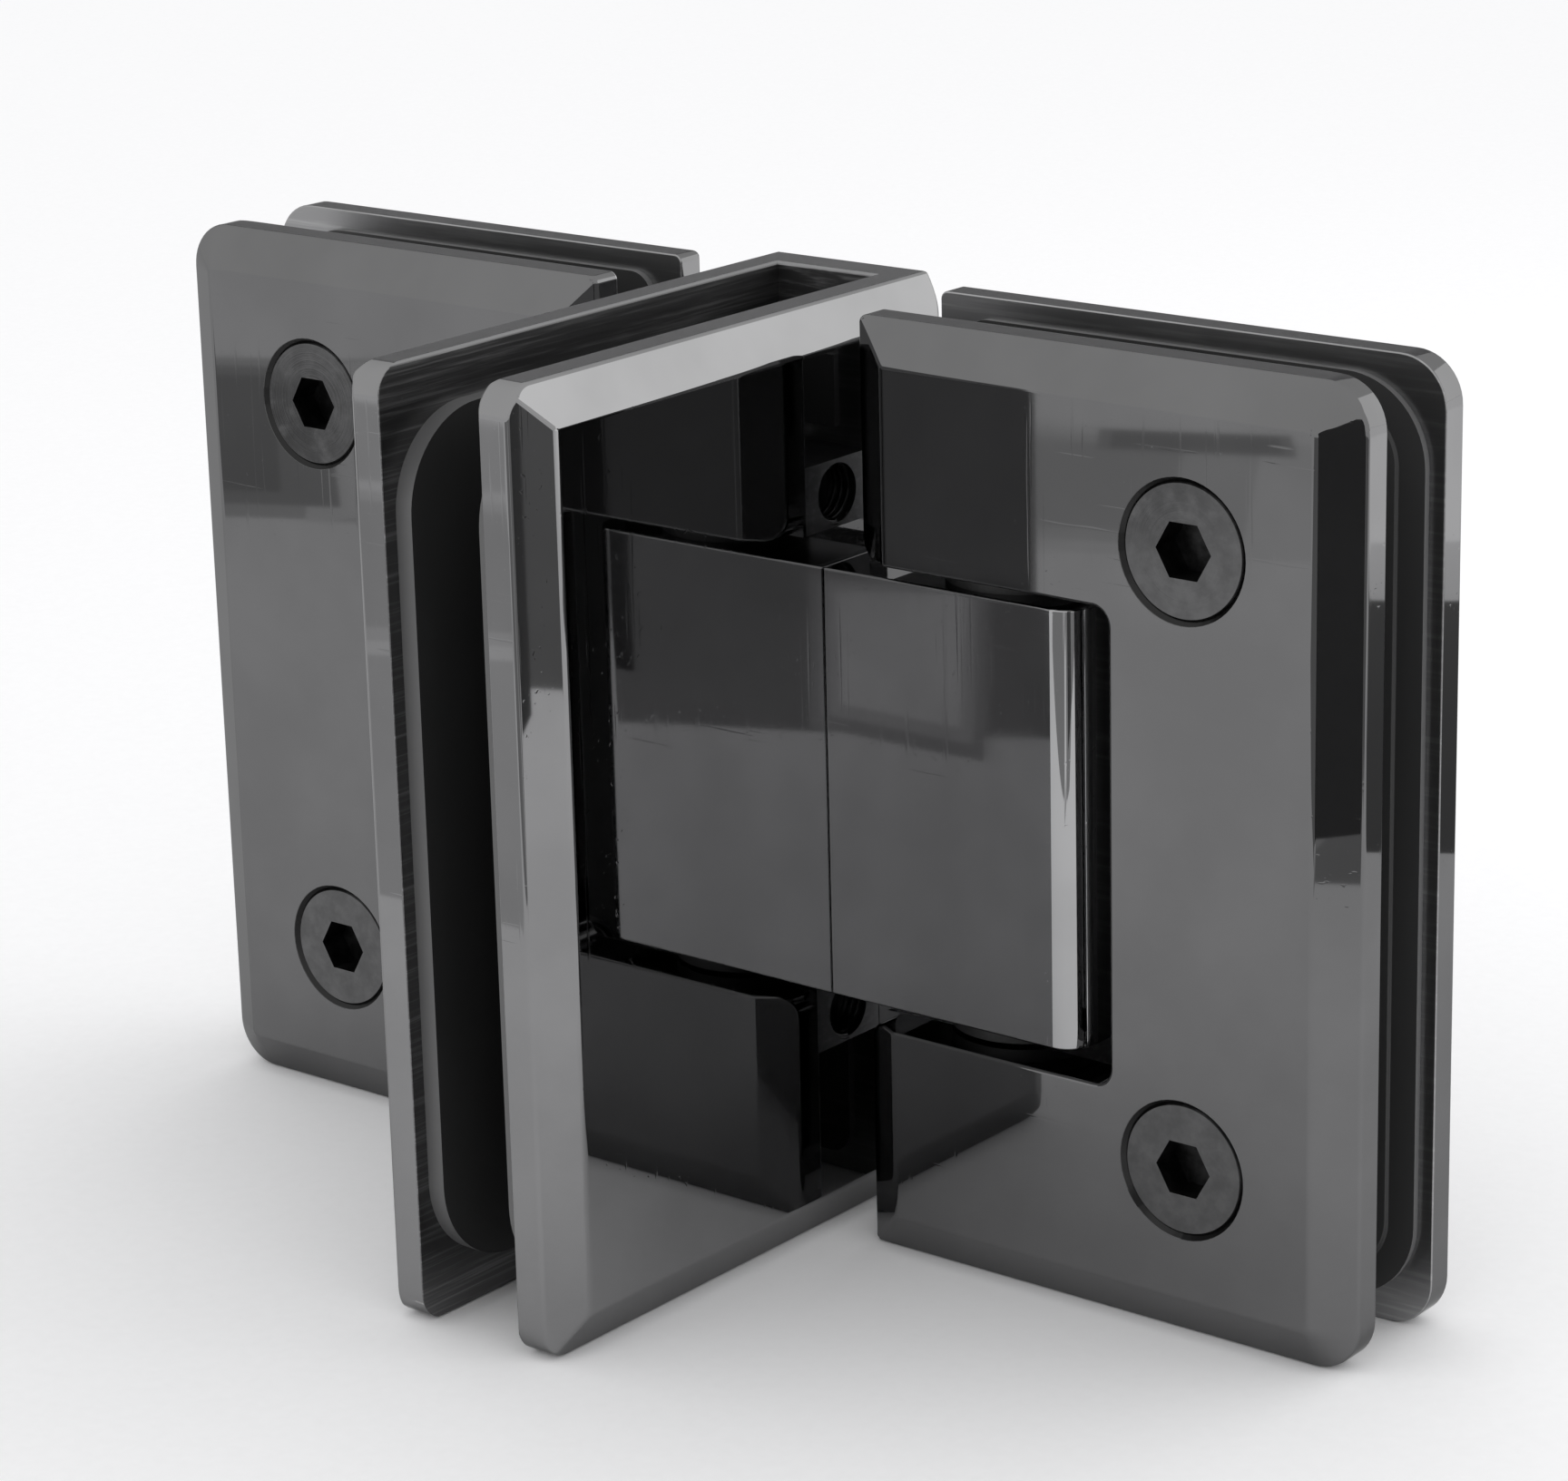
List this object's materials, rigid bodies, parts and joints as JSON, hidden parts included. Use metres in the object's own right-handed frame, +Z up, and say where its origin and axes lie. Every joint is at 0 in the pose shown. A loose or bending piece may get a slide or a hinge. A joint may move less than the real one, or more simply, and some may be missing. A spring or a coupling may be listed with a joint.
{
  "type": "three-way glass shower door hinge",
  "caption": "Polished three-way shower hinge: a fixed glass channel between swinging glass clamps, each on a pin in a knuckle.",
  "frame": {"origin": "where the middle planes of the three glass slots cross, at half the height", "axes": "+X towards the right leaf, -Y towards the fixed panel that the channel holds, +Z up along the pins"},
  "size_m": [0.1392, 0.0593, 0.09],
  "materials": {
    "plating": "mirror-polished black nickel plating",
    "knuckle_plating": "mirror-polished black nickel plating",
    "screw_plating": "polished black nickel plating",
    "screw_steel": "blackened steel",
    "pin_steel": "turned stainless steel",
    "spring_steel": "drawn spring wire",
    "gasket": "matt dark sheet",
    "bush": "dark nylon"
  },
  "bodies": {
    "centre_clamp": {"centre_channel": "plating", "channel_gasket_right": "gasket", "channel_gasket_left": "gasket", "right_knuckle": "knuckle_plating", "right_knuckle_screws": "screw_steel", "right_upper_bush": "bush", "right_lower_bush": "bush", "right_plungers": "pin_steel", "right_plunger_springs": "spring_steel", "left_knuckle": "knuckle_plating", "left_knuckle_screws": "screw_steel", "left_upper_bush": "bush", "left_lower_bush": "bush", "left_plungers": "pin_steel", "left_plunger_springs": "spring_steel"},
    "right_leaf": {"right_front_plate": "plating", "right_rear_plate": "plating", "right_front_gasket": "gasket", "right_rear_gasket": "gasket", "right_pin": "pin_steel", "right_pin_grub_screws": "screw_steel", "right_clamp_screws": "screw_plating"},
    "left_leaf": {"left_front_plate": "plating", "left_rear_plate": "plating", "left_front_gasket": "gasket", "left_rear_gasket": "gasket", "left_pin": "pin_steel", "left_pin_grub_screws": "screw_steel", "left_clamp_screws": "screw_plating"}
  },
  "joints": [
    {"name": "right_leaf_swing", "type": "hinge", "parent": "centre_clamp", "child": "right_leaf", "pos_m": [0.028, 0, 0], "axis": [0, 0, 1], "range_deg": [-90, 90]},
    {"name": "left_leaf_swing", "type": "hinge", "parent": "centre_clamp", "child": "left_leaf", "pos_m": [-0.028, 0, 0], "axis": [0, 0, 1], "range_deg": [-90, 90]}
  ]
}
